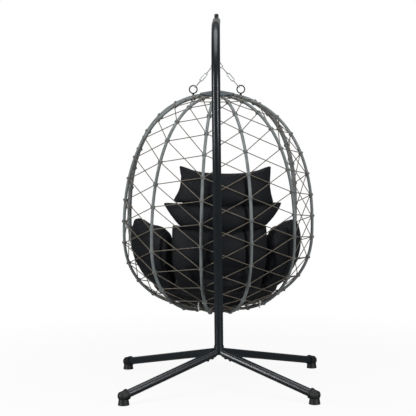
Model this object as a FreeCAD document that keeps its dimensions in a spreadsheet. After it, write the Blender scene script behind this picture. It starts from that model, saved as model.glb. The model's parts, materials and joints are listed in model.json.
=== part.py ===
import FreeCAD, Part
import math
import os
import Sketcher
from FreeCAD import Placement, Rotation, Vector

# Hanging egg chair: a spider base and a question-mark pole carry, on a snap
# hook and swivel, an egg-shaped basket of wrapped ribs laced with cord, with
# loose cushions inside.  Millimetres, +Z up, the seat faces -Y, and the origin
# is on the floor under the middle of the whole chair.

DRIVING = {
    # stand
    "pole_foot_back": 225.6, "leg_outer": 40, "leg_wall": 2, "hub_level": 194, "foot_level": 40,
    "rear_spread": 470, "rear_reach": 325, "front_spread": 525, "front_reach": 500,
    "lower_pole_outer": 45, "lower_pole_wall": 1.2, "upper_pole_outer": 42, "upper_pole_wall": 2,
    "pole_straight": 66, "pole_lean": 28, "joint_level": 908, "pole_insert": 110,
    "bow_level": 1515, "arch_radius": 334, "arch_turn": 80, "hook_reach": 395, "tip_overhang": 46,
    # hanging hardware
    "eye_radius": 16, "eye_wire": 10, "hook_wire": 8, "hook_width": 30, "hook_length": 72,
    "swivel_radius": 12, "swivel_wire": 7, "stud_outer": 8, "barrel_outer": 26, "ring_radius": 18,
    "link_wire": 5, "link_width": 20, "hanger_radius": 21, "hanger_side": 130, "hanger_back": -14,
    "hanger_level": 1548, "hang_level": 1552.5,
    # basket
    "egg_radius": 532, "egg_top": 1520, "egg_waist": 774, "egg_bottom": 325,
    "crown_power": 2.34, "bowl_power": 2.19, "basket_lean": 9.2, "basket_turn": 6,
    "rib_outer": 16, "rib_wall": 1.2, "rim_outer": 24, "rim_wall": 1.5, "rib_angle": 14,
    "rib_pitch": 30.75, "rim_angle": 115, "hub_plate_radius": 95, "knot_pitch": 118,
    "strand_outer": 5,
}

GAP = 0.3          # clearance between pieces that pass beside each other
CHAIN_GAP = 0.9    # slack where a chain's end link bears on a ring
RIM_KNOT_GAP = 0.9 # the rim bends inside its knots
STRAND_LIFT = 3.3  # each family of strands runs this far outside or inside the ribs
LEVELS = range(-4, 10)
# arc length from the crown to the level-0 knot on each upright, left to right
KNOT_START = [606, 606, 596, 659, 645, 647, 591, 591]
LACE_END = 104     # the lacing keeps this far from the crown and the bottom on a rib
RIM_LACE_END = 165 # and this far on the rim

doc = FreeCAD.newDocument("hanging_egg_chair")
sheet = doc.addObject("Spreadsheet::Sheet", "Sizes")
for row, (alias, number) in enumerate(DRIVING.items(), start=1):
    sheet.set("A%d" % row, alias)
    sheet.set("B%d" % row, str(number))
    sheet.setAlias("B%d" % row, alias)
doc.recompute()


def size(alias):
    return float(sheet.get(alias))


# ---------------------------------------------------------------- helpers

nodes = {}


def keep(obj, label, placement=None):
    """Names a sub-part, places it and lists it for export."""
    obj.Label = label
    if placement is not None:
        obj.Placement = placement
    nodes[label] = obj
    return obj


def feature(label, shape, placement=None):
    obj = doc.addObject("Part::Feature", label)
    obj.Shape = shape
    return keep(obj, label, placement)


def primitive(kind, name, bindings, placement=None):
    """A Part primitive whose sizes are bound to the sheet."""
    obj = doc.addObject(kind, name)
    for prop, expression in bindings.items():
        obj.setExpression(prop, expression)
    if placement is not None:
        obj.Placement = placement
    return obj


def turned_body(label, outline, placement=None):
    """A PartDesign body turned about its Z axis; outline is (radius, height)
    expressions in order round the section."""
    body = doc.addObject("PartDesign::Body", label)
    origin = body.Origin.OriginFeatures
    plane = [item for item in origin if item.Role == "XZ_Plane"][0]
    sketch = body.newObject("Sketcher::SketchObject", label + "_section")
    sketch.AttachmentSupport = (plane, [""])
    sketch.MapMode = "FlatFace"
    values = [tuple(evaluate(text) for text in point) for point in outline]
    count = len(values)
    for index, (radius, height) in enumerate(values):
        ahead = values[(index + 1) % count]
        sketch.addGeometry(Part.LineSegment(Vector(radius, height, 0), Vector(ahead[0], ahead[1], 0)))
    for index in range(count):
        sketch.addConstraint(Sketcher.Constraint("Coincident", index, 2, (index + 1) % count, 1))
        for axis, kind, number in ((-2, "DistanceX", 0), (-1, "DistanceY", 1)):
            value = values[index][number]
            if abs(value) < 1e-9:
                sketch.addConstraint(Sketcher.Constraint("PointOnObject", index, 1, axis))
                continue
            where = sketch.addConstraint(Sketcher.Constraint(kind, -1, 1, index, 1, value))
            sketch.setExpression("Constraints[%d]" % where, outline[index][number])
    revolve = body.newObject("PartDesign::Revolution", label + "_turn")
    revolve.Profile = sketch
    revolve.ReferenceAxis = (sketch, ["V_Axis"])
    revolve.Angle = 360
    body.Tip = revolve
    return keep(body, label, placement)


def evaluate(text):
    """The number that an expression over the sheet's cells gives now."""
    probe = sheet.evalExpression(text.replace("Sizes.", ""))
    return float(probe)


def along(direction, start):
    """A placement whose Z axis points along direction."""
    return Placement(start, Rotation(Vector(0, 0, 1), direction))


def arc_edge(start, tangent, end):
    """The arc that leaves start along tangent and reaches end, or a line."""
    chord = end - start
    angle = tangent.getAngle(chord)
    if angle < 1e-6:
        return Part.LineSegment(start, end).toShape()
    unit = Vector(chord).normalize()
    side = (tangent - unit * tangent.dot(unit)).normalize()
    middle = start + chord * 0.5 + side * (chord.Length / 2 * math.tan(angle / 2))
    return Part.Arc(start, middle, end).toShape()


def biarc(start, tangent, end, end_tangent):
    """Two arcs that join two points smoothly, in the plane or in space."""
    chord = end - start
    both = tangent + end_tangent
    square = 2 * (1 - tangent.dot(end_tangent))
    linear = 2 * chord.dot(both)
    if square < 1e-9:
        reach = chord.dot(chord) / linear
    else:
        root = math.sqrt(linear ** 2 + 4 * square * chord.dot(chord))
        reach = (root - linear) / (2 * square)
    joint = (start + tangent * reach + end - end_tangent * reach) * 0.5
    first = arc_edge(start, tangent, joint)
    last = arc_edge(end, end_tangent * -1, joint)
    return [first, last]


def smooth_path(points, tangents):
    edges = []
    for index in range(len(points) - 1):
        edges += biarc(points[index], tangents[index], points[index + 1], tangents[index + 1])
    return edges


def rod(edges, radius, start, tangent):
    """A round bar along tangent edges."""
    wire = Part.Wire(Part.__sortEdges__(edges))
    disc = Part.Face(Part.Wire(Part.makeCircle(radius, start, tangent)))
    return wire.makePipe(disc)


def pipe(edges, outer, wall, start, tangent):
    """A round tube along tangent edges."""
    skin = rod(edges, outer / 2, start, tangent)
    return skin.cut(rod(edges, outer / 2 - wall, start, tangent))


def ring(radius, wire_radius, centre, normal):
    return Part.makeTorus(radius, wire_radius, centre, normal)


def bar(radius, start, end):
    return Part.makeCylinder(radius, (end - start).Length, start, end - start)


# ---------------------------------------------------------------- the stand

foot_of_pole = Vector(0, size("pole_foot_back"), 0)
hook_line = foot_of_pole - Vector(0, size("hook_reach"), 0)
hub_centre = foot_of_pole + Vector(0, 0, size("hub_level"))

LEGS = {
    "rear_left": ("rear_spread", "rear_reach", 1, 1),
    "rear_right": ("rear_spread", "rear_reach", -1, 1),
    "front_left": ("front_spread", "front_reach", 1, -1),
    "front_right": ("front_spread", "front_reach", -1, -1),
}
SLEEVE_RADIUS = 25.5
SLEEVE_LOW, SLEEVE_HIGH = 179, 223
LEG_START = 32.5      # leg tubes begin this far out from the pole's axis
STUB_END = 96       # the hub's stubs reach this far inside the legs
BOLT_RADII = (47, 76)
BASE_SCREW_LEVEL = 191
FOOT_SINK = 4       # leg tube stops short of the boot's blind end
PAD_RADIUS = 28
PAD_SHIFT = 14      # the pad stands this far in from the leg's end


def leg_direction(leg):
    spread, reach, side, back = LEGS[leg]
    end = foot_of_pole + Vector(side * size(spread), back * size(reach), size("foot_level"))
    return end, (end - hub_centre).normalize()


def make_hub():
    sleeve_low = foot_of_pole + Vector(0, 0, SLEEVE_LOW)
    solid = Part.makeCylinder(SLEEVE_RADIUS, SLEEVE_HIGH - SLEEVE_LOW, sleeve_low)
    for leg in LEGS:
        end, direction = leg_direction(leg)
        stub_radius = size("leg_outer") / 2 - size("leg_wall") - GAP
        solid = solid.fuse(bar(stub_radius, hub_centre, hub_centre + direction * STUB_END))
    bore = size("lower_pole_outer") / 2 + GAP
    solid = solid.cut(Part.makeCylinder(bore, 120, foot_of_pole + Vector(0, 0, 130)))
    for leg in LEGS:
        for start, direction in bolt_lines(leg):
            solid = solid.cut(Part.makeCylinder(3 + GAP, 26, start, direction))
    screw = foot_of_pole + Vector(0, SLEEVE_RADIUS + 1, BASE_SCREW_LEVEL)
    solid = solid.cut(Part.makeCylinder(2.5 + GAP, 20, screw, Vector(0, -1, 0)))
    feature("base_hub", solid.removeSplitter())


def bolt_lines(leg):
    """Start under the leg and direction, up through leg and stub, of its bolts."""
    end, direction = leg_direction(leg)
    sideways = Vector(direction.y, -direction.x, 0).normalize()
    up = sideways.cross(direction).normalize()
    if up.z < 0:
        up = up * -1
    below = size("leg_outer") / 2
    return [(hub_centre + direction * out - up * below, up) for out in BOLT_RADII]


def make_legs():
    bolts = []
    for leg in LEGS:
        end, direction = leg_direction(leg)
        start = hub_centre + direction * LEG_START
        length = (end - start).Length - FOOT_SINK
        outer = Part.makeCylinder(size("leg_outer") / 2, length, start, direction)
        inner = Part.makeCylinder(size("leg_outer") / 2 - size("leg_wall"), length, start, direction)
        tube = outer.cut(inner)
        for low, up in bolt_lines(leg):
            tube = tube.cut(Part.makeCylinder(3 + GAP, 8, low - up * 2, up))
            head = Part.makeCylinder(6.5, 4, low - up * 4.2, up)
            head = head.fuse(Part.makeCylinder(3, 22, low - up * 2, up))
            bolts.append(head)
        feature(leg + "_leg", tube)
    feature("leg_bolts", Part.makeCompound(bolts))


def make_feet():
    """Moulded boots: a sleeve over the leg with a collar and a tapered end, and
    a broad pad under it that stands on the floor."""
    bore = size("leg_outer") / 2 + GAP / 2
    skin = 24.5
    for leg in LEGS:
        end, direction = leg_direction(leg)
        inward = Vector(-direction.x, -direction.y, 0).normalize()
        sleeve = Part.makeCylinder(skin, 36, end - direction * 36, direction)
        collar = Part.makeCylinder(skin + 2.5, 8, end - direction * 38, direction)
        shoulder = Part.makeCone(skin, skin - 2.5, 5, end, direction)
        tip = Part.makeCone(skin - 2.5, skin - 10, 6, end + direction * 5, direction)
        pad_centre = Vector(end.x, end.y, 0) + inward * PAD_SHIFT
        pad = Part.makeCone(PAD_RADIUS, PAD_RADIUS - 4, size("foot_level") - 12, pad_centre)
        boot = sleeve.fuse([collar, shoulder, tip, pad])
        blind = Part.makeCylinder(bore, 80, end - direction * (80 + FOOT_SINK / 2), direction)
        feature(leg + "_foot", boot.cut(blind).removeSplitter())


class Route:
    """A path in the chair's middle plane, walked forward in arcs and lines."""

    def __init__(self, start, lean):
        self.point = start
        self.lean = math.radians(lean)
        self.edges = []

    def heading(self):
        return Vector(0, math.sin(self.lean), math.cos(self.lean))

    def line(self, length):
        start = self.point
        self.point = start + self.heading() * length
        self.edges.append(Part.LineSegment(start, self.point).toShape())
        return self

    def arc(self, radius, lean):
        """Turns to a new lean from the vertical, towards the back if positive."""
        target = math.radians(lean)
        sign = 1 if target > self.lean else -1
        across = sign * radius * (math.cos(self.lean) - math.cos(target))
        rise = sign * radius * (math.sin(target) - math.sin(self.lean))
        start, tangent = self.point, self.heading()
        self.point = start + Vector(0, across, rise)
        self.edges.append(arc_edge(start, tangent, self.point))
        self.lean = target
        return self


POLE_BASE = 180


def pole_routes():
    """Lower pole, then upper pole from the bottom of its insert to the tip."""
    lean = size("pole_lean")
    low = Route(foot_of_pole + Vector(0, 0, POLE_BASE), 0).line(size("pole_straight"))
    sweep = (size("joint_level") - low.point.z) / math.sin(math.radians(lean))
    low.arc(sweep, lean)
    insert_turn = math.degrees(size("pole_insert") / sweep)
    back = sweep * (math.cos(math.radians(lean - insert_turn)) - math.cos(math.radians(lean)))
    drop = sweep * (math.sin(math.radians(lean)) - math.sin(math.radians(lean - insert_turn)))
    insert = Route(low.point - Vector(0, back, drop), lean - insert_turn)
    insert.arc(sweep, lean)
    bow = (size("bow_level") - insert.point.z) / math.sin(math.radians(lean))
    insert.arc(bow, 0)
    insert.arc(size("arch_radius"), -size("arch_turn"))
    reach = (insert.point.y - hook_line.y) / math.sin(math.radians(size("arch_turn")))
    insert.line(reach)
    hook_point = Vector(insert.point)
    insert.line(size("tip_overhang"))
    return low, insert, hook_point


def make_poles():
    low, high, hook_point = pole_routes()
    start = foot_of_pole + Vector(0, 0, POLE_BASE)
    lower = pipe(low.edges, size("lower_pole_outer"), size("lower_pole_wall"), start, Vector(0, 0, 1))
    screw = foot_of_pole + Vector(0, SLEEVE_RADIUS + 1, BASE_SCREW_LEVEL)
    lower = lower.cut(Part.makeCylinder(2.5 + GAP, 16, screw, Vector(0, -1, 0)))
    first = high.edges[0]
    begin = first.Vertexes[0].Point
    tangent = first.tangentAt(first.FirstParameter)
    upper = pipe(high.edges, size("upper_pole_outer"), size("upper_pole_wall"), begin, tangent)
    eye_hole = Part.makeCylinder(5 + GAP, 60, hook_point - Vector(0, 0, 30))
    upper = upper.cut(eye_hole)
    # screw at the front of the telescopic joint
    lean = math.radians(size("pole_lean") - 1.5)
    joint = low.point - Vector(0, math.sin(lean), math.cos(lean)) * 40
    into = Vector(0, math.cos(lean), -math.sin(lean))
    entry = joint - into * (size("lower_pole_outer") / 2 + 1)
    hole = Part.makeCylinder(2.5 + GAP, 14, entry, into)
    feature("lower_pole", lower.cut(hole))
    feature("upper_pole", upper.cut(hole))
    shank = Part.makeCylinder(2.5, 9, entry, into)
    feature("pole_joint_screw", Part.makeCylinder(5, 3, entry - into * 2.8, into).fuse(shank))
    base_shank = Part.makeCylinder(2.5, 11, screw, Vector(0, -1, 0))
    head = Part.makeCylinder(4.5, 3, screw + Vector(0, 2.4, 0), Vector(0, -1, 0))
    feature("pole_base_screw", head.fuse(base_shank))
    return high, hook_point


def make_tip(high, hook_point):
    wall_inner = "(Sizes.upper_pole_outer / 2 - Sizes.upper_pole_wall - 0.3)"
    outline = [("0", "0"), (wall_inner, "0"), (wall_inner, "16"),
               ("Sizes.upper_pole_outer / 2", "16.2"), ("Sizes.upper_pole_outer / 2", "18"),
               ("Sizes.upper_pole_outer / 2 - 5", "23"), ("0", "25")]
    turned_body("pole_end_plug", outline, along(high.heading(), high.point - high.heading() * 16))
    # eye bolt through the pole's tip, its nut and the domed cap over the nut
    half = size("upper_pole_outer") / 2
    eye = hook_point - Vector(0, 0, half + 8 + size("eye_radius") + size("eye_wire") / 2)
    shank_top = hook_point + Vector(0, 0, half + 8)
    bolt = ring(size("eye_radius"), size("eye_wire") / 2, eye, Vector(1, 0, 0))
    bolt = bolt.fuse(bar(5, eye + Vector(0, 0, size("eye_radius")), shank_top))
    collar_top = hook_point - Vector(0, 0, half + 2.5)
    bolt = bolt.fuse(bar(9, collar_top - Vector(0, 0, 4), collar_top))
    feature("eye_bolt", bolt)
    slope = math.radians(90 - size("arch_turn"))
    seat = hook_point + Vector(0, 0, 1) * (half / math.cos(slope) + 1.8)
    nut = Part.makeCylinder(8.5, 6, seat)
    feature("eye_bolt_nut", nut.cut(Part.makeCylinder(5 + GAP / 2, 8, seat)))
    outer_cap = Part.makeCylinder(12, 6.5, seat + Vector(0, 0, -0.2))
    dome = Part.makeSphere(12, seat + Vector(0, 0, 6.3)).common(
        Part.makeBox(30, 30, 9.5, seat + Vector(-15, -15, 6.3)))
    hollow = Part.makeCylinder(9, 7.4, seat - Vector(0, 0, 0.3))
    feature("nut_cap", outer_cap.fuse(dome).cut(hollow).removeSplitter())
    return eye


# ---------------------------------------------------------------- hanging hardware

def make_snap_hook(eye):
    """Snap hook in the XZ plane, hanging in the eye by its top bend."""
    wire = size("hook_wire") / 2
    bend = size("hook_width") / 2 - wire
    top = eye - Vector(0, 0, size("eye_radius") - size("eye_wire") / 2 - wire - GAP)
    high = top - Vector(0, 0, bend)
    low = high - Vector(0, 0, size("hook_length") - 2 * (bend + wire))
    left, right = Vector(bend, 0, 0), Vector(-bend, 0, 0)
    down = Vector(0, 0, -1)
    up = Vector(0, 0, 1)
    # open on the left side, where the gate closes it
    nose = high + left - Vector(0, 0, 2)
    pivot = low + left + Vector(0, 0, 4)
    edges = [
        Part.LineSegment(nose, high + left).toShape(),
        Part.Arc(high + left, top, high + right).toShape(),
        Part.LineSegment(high + right, low + right).toShape(),
        Part.Arc(low + right, low + down * bend, low + left).toShape(),
        Part.LineSegment(low + left, pivot).toShape(),
    ]
    solid = rod(edges, wire, nose, up)
    slot = Part.makeBox(12, 4.6, 9, pivot + Vector(-6, -2.3, -3.6))
    pin_hole = Part.makeCylinder(1.5, 12, pivot + Vector(0, -6, 0), Vector(0, 1, 0))
    solid = solid.fuse(Part.makeCylinder(5, 7.6, pivot + Vector(0, -3.8, 0), Vector(0, 1, 0)))
    solid = solid.cut(slot).cut(pin_hole)
    feature("snap_hook", solid)
    tongue = Part.makeBox(4.4, 4, 7, pivot + Vector(-2.2, -2, -1.2))
    knuckle = Part.makeCylinder(2.9, 4, pivot + Vector(0, -2, 0), Vector(0, 1, 0))
    stem = bar(3, pivot + Vector(0, 0, 5.8), nose - Vector(0, 0, 0.6))
    gate = knuckle.fuse([tongue, stem]).cut(
        Part.makeCylinder(1.55, 12, pivot + Vector(0, -6, 0), Vector(0, 1, 0)))
    feature("snap_hook_gate", gate.removeSplitter())
    pin = primitive("Part::Cylinder", "gate_pin", {"Height": "7.4", "Radius": "1.45"})
    keep(pin, "gate_pin", along(Vector(0, 1, 0), pivot + Vector(0, -3.7, 0)))
    return low - Vector(0, 0, bend), pivot


def make_swivel(saddle):
    """Swivel eye with a headed stud, turning in a barrel with a bow below."""
    wire = size("swivel_wire") / 2
    top = saddle + Vector(0, 0, size("hook_wire") / 2 + wire + GAP)
    centre = top - Vector(0, 0, size("swivel_radius"))
    base = centre - Vector(0, 0, size("swivel_radius") + wire)
    eye = ring(size("swivel_radius"), wire, centre, Vector(1, 0, 0))
    eye = eye.fuse(Part.makeCylinder(7, 5, base - Vector(0, 0, 2)))
    stud = Part.makeCylinder(size("stud_outer") / 2, 16, base - Vector(0, 0, 18))
    head = Part.makeCylinder(6.5, 3.5, base - Vector(0, 0, 17.5))
    feature("swivel_eye", eye.fuse([stud, head]).removeSplitter())
    bearing = base - Vector(0, 0, 2.15)
    barrel = Part.makeCylinder(size("barrel_outer") / 2, 22, bearing - Vector(0, 0, 22))
    bore = Part.makeCylinder(size("stud_outer") / 2 + 0.06, 12, bearing - Vector(0, 0, 11))
    cavity = Part.makeCylinder(7.5, 8, bearing - Vector(0, 0, 18.5))
    bow_centre = bearing - Vector(0, 0, 22 + 9)
    bow = ring(13, wire, bow_centre, Vector(0, 1, 0))
    solid = barrel.fuse(bow).cut(bore).cut(cavity)
    feature("swivel_barrel", solid.removeSplitter())
    # the ring that gathers both chains, hanging in the bow
    bow_low = bow_centre - Vector(0, 0, 13)
    ring_top = bow_low + Vector(0, 0, 2 * wire + GAP)
    ring_centre = ring_top - Vector(0, 0, size("ring_radius"))
    feature("gathering_ring", ring(size("ring_radius"), wire, ring_centre, Vector(1, 0, 0)))
    return bearing, ring_centre - Vector(0, 0, size("ring_radius"))


def link_solid(centre, direction, flat, pitch):
    """One chain link: a long loop in the plane of direction and flat."""
    wire = size("link_wire") / 2
    bend = size("link_width") / 2 - wire
    half = (pitch + GAP) / 2 + wire - bend
    side = (flat - direction * flat.dot(direction)).normalize()
    a, b = centre + direction * half, centre - direction * half
    edges = [
        Part.LineSegment(b + side * bend, a + side * bend).toShape(),
        Part.Arc(a + side * bend, a + direction * bend, a - side * bend).toShape(),
        Part.LineSegment(a - side * bend, b - side * bend).toShape(),
        Part.Arc(b - side * bend, b - direction * bend, b + side * bend).toShape(),
    ]
    halves = []
    for pair in (edges[:2], edges[2:]):
        start = pair[0].Vertexes[0].Point
        tangent = pair[0].tangentAt(pair[0].FirstParameter)
        halves.append(rod(pair, wire, start, tangent))
    return halves[0].fuse(halves[1]).removeSplitter()


LINKS = 4


def make_chain(label, top, hanger):
    """Four links from the gathering ring down to a hanger ring."""
    grip = size("swivel_wire") / 2 + CHAIN_GAP
    # the end link bears on the ring's wire, so in the plane of the ring
    ring_normal = in_basket.Rotation.multVec(Vector(0, 1, 0))
    run = hanger - top
    in_ring = (run - ring_normal * run.dot(ring_normal)).normalize()
    low = hanger - in_ring * size("hanger_radius")
    distance = (low - top).Length
    direction = (low - top).normalize()
    pitch = (distance + 2 * grip + GAP) / LINKS - GAP / LINKS * 2
    first = (pitch + GAP) / 2 - grip
    links = []
    for index in range(LINKS):
        flat = Vector(1, 0, 0) if index % 2 == 0 else Vector(0, 1, 0)
        centre = top + direction * (first + index * pitch)
        links.append(link_solid(centre, direction, flat, pitch))
    feature(label, Part.makeCompound(links))


# ---------------------------------------------------------------- the basket

# The basket leans and turns about the line through its two hanger rings, which
# hangs straight under the hook.
hang_point = hook_line + Vector(0, 0, size("hang_level"))
turn_only = Placement(hang_point, Rotation(Vector(0, 0, 1), size("basket_turn")))
lean_only = Placement(Vector(), Rotation(Vector(1, 0, 0), -size("basket_lean")))
ring_line = Placement(Vector(0, -size("hanger_back"), -size("hanger_level")), Rotation())
in_basket = turn_only.multiply(lean_only).multiply(ring_line)


def basket_feature(label, shape):
    return feature(label, shape, in_basket)


def wall_table():
    """Radius and height of the egg against arc length from its crown."""
    top, bottom = size("egg_top"), size("egg_bottom")
    steps = 1200
    rows = []
    length = 0.0
    for step in range(steps + 1):
        height = bottom + (top - bottom) * (1 + math.cos(math.pi * step / steps)) / 2
        radius = wall_radius(height)
        if rows:
            length += math.hypot(radius - rows[-1][1], height - rows[-1][2])
        rows.append((length, radius, height))
    return rows


def wall_radius(height):
    waist = size("egg_waist")
    if height >= waist:
        span, power = size("egg_top") - waist, size("crown_power")
    else:
        span, power = waist - size("egg_bottom"), size("bowl_power")
    part = min(1.0, abs(height - waist) / span)
    return size("egg_radius") * (1 - part ** power) ** (1 / power)


WALL = wall_table()
WALL_LENGTH = WALL[-1][0]


def wall_at(length):
    """Radius and height at an arc length from the crown."""
    low, high = 0, len(WALL) - 1
    while high - low > 1:
        middle = (low + high) // 2
        if WALL[middle][0] <= length:
            low = middle
        else:
            high = middle
    a, b = WALL[low], WALL[high]
    share = (length - a[0]) / (b[0] - a[0])
    return a[1] + (b[1] - a[1]) * share, a[2] + (b[2] - a[2]) * share


def upright_angles():
    """Directions of rim, six ribs and rim again, from the back, left to right."""
    first, pitch, rim = size("rib_angle"), size("rib_pitch"), size("rim_angle")
    left = [first + pitch * step for step in (2, 1, 0)]
    return [rim] + left + [-angle for angle in reversed(left)] + [-rim]


ANGLES = upright_angles()
RIM_COLUMNS = (0, len(ANGLES) - 1)


def wall_point(column, length):
    """A point on a rib's or the rim's centre line."""
    radius, height = wall_at(length)
    angle = math.radians(ANGLES[column])
    across, back = radius * math.sin(angle), radius * math.cos(angle)
    if column in RIM_COLUMNS:
        # the rim's two sides meet in a smooth bend over the crown
        back *= radius / size("egg_radius")
    return Vector(across, back, height)


def wall_tangent(column, length):
    step = 0.5
    ahead = wall_point(column, min(length + step, WALL_LENGTH - 0.01))
    return (ahead - wall_point(column, max(length - step, 0.01))).normalize()


def upright_edges(column, stations):
    points = [wall_point(column, length) for length in stations]
    tangents = [wall_tangent(column, length) for length in stations]
    return smooth_path(points, tangents), points[0], tangents[0]


RIB_END = 72
RIB_NAMES = ["left_side", "left_back", "left_middle", "right_middle", "right_back", "right_side"]


def make_ribs():
    steps = 12
    stations = [RIB_END + (WALL_LENGTH - 2 * RIB_END) * step / steps for step in range(steps + 1)]
    for column, name in enumerate(RIB_NAMES, start=1):
        edges, start, tangent = upright_edges(column, stations)
        basket_feature(name + "_rib", pipe(edges, size("rib_outer"), size("rib_wall"), start, tangent))


def make_rim():
    """One hoop: a left and a right half that meet over the crown and under the seat."""
    steps = 16
    stations = [WALL_LENGTH * step / steps for step in range(steps + 1)]
    halves = []
    for column in RIM_COLUMNS:
        points = [wall_point(column, length) for length in stations]
        tangents = [wall_tangent(column, length) for length in stations]
        side = 1 if column == 0 else -1
        points[0].x = points[-1].x = points[0].y = points[-1].y = 0
        tangents[0] = Vector(side, 0, 0)
        tangents[-1] = Vector(-side, 0, 0)
        edges = smooth_path(points, tangents)
        halves.append(pipe(edges, size("rim_outer"), size("rim_wall"), points[0], tangents[0]))
    hoop = halves[0].fuse(halves[1])
    basket_feature("front_rim", hoop)


def make_hub_plates():
    """Shallow dished plates over and under the rib ends."""
    edge = size("rim_outer") / 2
    outline = [("0", "15"), ("35", "14"), ("Sizes.hub_plate_radius", "2"), ("Sizes.hub_plate_radius", "0"),
               ("Sizes.hub_plate_radius - 2", "0"), ("34", "11.5"), ("0", "12.5")]
    drop = size("egg_top") - wall_at(size("hub_plate_radius"))[1]
    top_place = Placement(Vector(0, 0, size("egg_top") - drop + edge), Rotation())
    turned_body("top_hub_plate", outline, in_basket.multiply(top_place))
    lift = wall_at(WALL_LENGTH - size("hub_plate_radius"))[1] - size("egg_bottom")
    low_place = Placement(Vector(0, 0, size("egg_bottom") + lift - edge), Rotation(Vector(1, 0, 0), 180))
    turned_body("bottom_hub_plate", outline, in_basket.multiply(low_place))


def knot_length(column, level):
    return KNOT_START[column] + size("knot_pitch") * level


def laced(column, level):
    """Whether strands meet an upright at a level, clear of the hub plates."""
    end = RIM_LACE_END if column in RIM_COLUMNS else LACE_END
    return level in LEVELS and end < knot_length(column, level) < WALL_LENGTH - end


def make_knots():
    """Lashings round each rib and the rim, one where the strands meet it."""
    rim_knots = []
    for column in range(len(ANGLES)):
        is_rim = column in RIM_COLUMNS
        inner = size("rim_outer") / 2 + RIM_KNOT_GAP if is_rim else size("rib_outer") / 2 + GAP
        knots = []
        for level in LEVELS:
            if not laced(column, level):
                continue
            length = knot_length(column, level)
            centre, tangent = wall_point(column, length), wall_tangent(column, length)
            start = centre - tangent * 7
            lash = Part.makeCylinder(inner + 3.6, 14, start, tangent)
            knots.append(lash.cut(Part.makeCylinder(inner, 14, start, tangent)))
        if is_rim:
            rim_knots += knots
        else:
            basket_feature(RIB_NAMES[column - 1] + "_knots", Part.makeCompound(knots))
    basket_feature("rim_knots", Part.makeCompound(rim_knots))


PANEL_NAMES = ["left_front", "left_side", "left_back", "middle", "right_back", "right_side", "right_front"]


def knot_reach(column, level, run):
    """How far along a strand its end stays from an upright's centre line."""
    clear = size("rim_outer") / 2 + RIM_KNOT_GAP + 1 if column in RIM_COLUMNS else size("rib_outer") / 2 + GAP
    slant = run.cross(wall_tangent(column, knot_length(column, level))).Length
    return (clear + 3.6 + 1.6) / max(slant, 0.35)


def wall_normal(point):
    """Outward direction of the egg's surface at a point near it."""
    flat = Vector(point.x, point.y, 0)
    above = point.z - size("egg_waist")
    span = size("egg_top") - size("egg_waist") if above > 0 else size("egg_waist") - size("egg_bottom")
    power = size("crown_power") if above > 0 else size("bowl_power")
    sideways = (flat.Length / size("egg_radius")) ** (power - 1) / size("egg_radius")
    upward = math.copysign((abs(above) / span) ** (power - 1) / span, above)
    return (flat.normalize() * sideways + Vector(0, 0, upward)).normalize()


def make_lacing():
    """Crossed strands between neighbouring uprights; the two families run a
    little outside and inside each other so that they pass at each crossing."""
    for panel, name in enumerate(PANEL_NAMES):
        strands = []
        for level in LEVELS:
            for step, lift in ((1, STRAND_LIFT), (-1, -STRAND_LIFT)):
                if not (laced(panel, level) and laced(panel + 1, level + step)):
                    continue
                start = wall_point(panel, knot_length(panel, level))
                end = wall_point(panel + 1, knot_length(panel + 1, level + step))
                normal = wall_normal((start + end) * 0.5)
                run = (end - start).normalize()
                start = start + normal * lift + run * knot_reach(panel, level, run)
                end = end + normal * lift - run * knot_reach(panel + 1, level + step, run)
                strands.append(bar(size("strand_outer") / 2, start, end))
        basket_feature(name + "_lacing", Part.makeCompound(strands))


def make_hangers():
    """Rings welded on the rim at either side of the crown, for the chains."""
    centres = []
    for side, name in ((1, "left"), (-1, "right")):
        centre = Vector(side * size("hanger_side"), size("hanger_back"), size("hanger_level"))
        wire = size("swivel_wire") / 2
        loop = ring(size("hanger_radius"), wire, centre, Vector(0, 1, 0))
        root = centre - Vector(0, 0, size("hanger_radius"))
        loop = loop.fuse(bar(5.5, root, root - Vector(0, 0, 34)))
        basket_feature(name + "_hanger_ring", largest(loop.cut(fat_rim())))
        centres.append(in_basket.multVec(centre))
    return centres


def fat_rim():
    """The rim's solid outline near the crown, with a hair of clearance."""
    halves = []
    for column in RIM_COLUMNS:
        side = 1 if column == 0 else -1
        stations = [0, WALL_LENGTH / 16, WALL_LENGTH / 8]
        points = [wall_point(column, length) for length in stations]
        tangents = [wall_tangent(column, length) for length in stations]
        points[0].x = points[0].y = 0
        tangents[0] = Vector(side, 0, 0)
        edges = smooth_path(points, tangents)
        halves.append(rod(edges, size("rim_outer") / 2 + 0.1, points[0], tangents[0]))
    return halves[0].fuse(halves[1])


def largest(shape):
    return sorted(shape.Solids, key=lambda solid: -solid.BoundBox.ZMax)[0]


# ---------------------------------------------------------------- cushions

BACK_GAP = 34   # behind and beside the sitter the strands cut this far inside the ribs
SIDE_GAP = 48   # they cut further in beside the rim, where the span is wider


def shell_pad(label, low, high, thickness, middle, half, gap):
    """A pad that follows the basket's wall: low and high are heights, middle
    and half are angles from the back."""
    heights = [low, (low * 2 + high) / 3, (low + high * 2) / 3, high]
    outside = [Vector(wall_radius(height) - gap, 0, height) for height in heights]
    ease = thickness * 0.3
    inside = [point - Vector(thickness, 0, 0) for point in outside]
    inside[0] = inside[0] + Vector(ease, 0, 0)
    inside[-1] = inside[-1] + Vector(ease, 0, 0)
    section = Part.Face(Part.makePolygon(outside + inside[::-1] + [outside[0]]))
    section.rotate(Vector(), Vector(0, 0, 1), 90 - middle - half)
    basket_feature(label, section.revolve(Vector(), Vector(0, 0, 1), 2 * half))


SEAT_TOP = 500
SEAT_FRONT = 22   # the seat's front face stays this far behind the rim's centre line


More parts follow.
